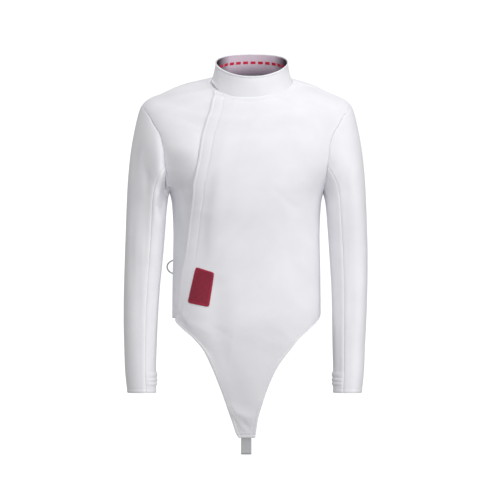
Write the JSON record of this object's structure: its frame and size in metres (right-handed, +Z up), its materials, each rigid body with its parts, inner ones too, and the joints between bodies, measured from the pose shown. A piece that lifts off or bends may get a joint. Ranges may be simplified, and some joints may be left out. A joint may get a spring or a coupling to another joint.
{
  "type": "fencing jacket",
  "caption": "White fencing jacket in its worn shape, with stand collar, side flap, long two-piece sleeves, pointed front apron, crotch strap and a swinging ring at the hip.",
  "frame": {"origin": "mount wearer_shoulders: the point between the two shoulder lines, under the neck, where the wearer's shoulders carry the jacket", "axes": "+Z up towards the collar, -Y out of the chest, +X towards the wearer's left"},
  "size_m": [0.5072, 0.2199, 0.8394],
  "materials": {
    "white_cloth": "fine satin-matt woven fencing cloth",
    "mesh_lining": "knitted spacer mesh",
    "zip_tape": "woven tape with moulded chain",
    "grey_webbing": "ribbed elastic webbing",
    "red_weave": "woven badge cloth with a stitched border",
    "white_tape": "woven tape",
    "ring_steel": "nickel-plated steel wire"
  },
  "bodies": {
    "jacket": {"front_main": "white_cloth", "front_under": "white_cloth", "back": "white_cloth", "sleeve_outer_left": "white_cloth", "sleeve_outer_right": "white_cloth", "sleeve_under_left": "white_cloth", "sleeve_under_right": "white_cloth", "collar": "white_cloth", "collar_lining": "mesh_lining", "zip": "zip_tape", "crotch_strap": "grey_webbing", "hip_patch": "red_weave", "ring_tape": "white_tape"},
    "hip_ring": {"d_ring": "ring_steel"}
  },
  "joints": [
    {"name": "hip_ring_swing", "type": "hinge", "parent": "jacket", "child": "hip_ring", "pos_m": [-0.147, 0.0427, -0.381], "axis": [0, 0, 1], "range_deg": [-95, 50]}
  ]
}
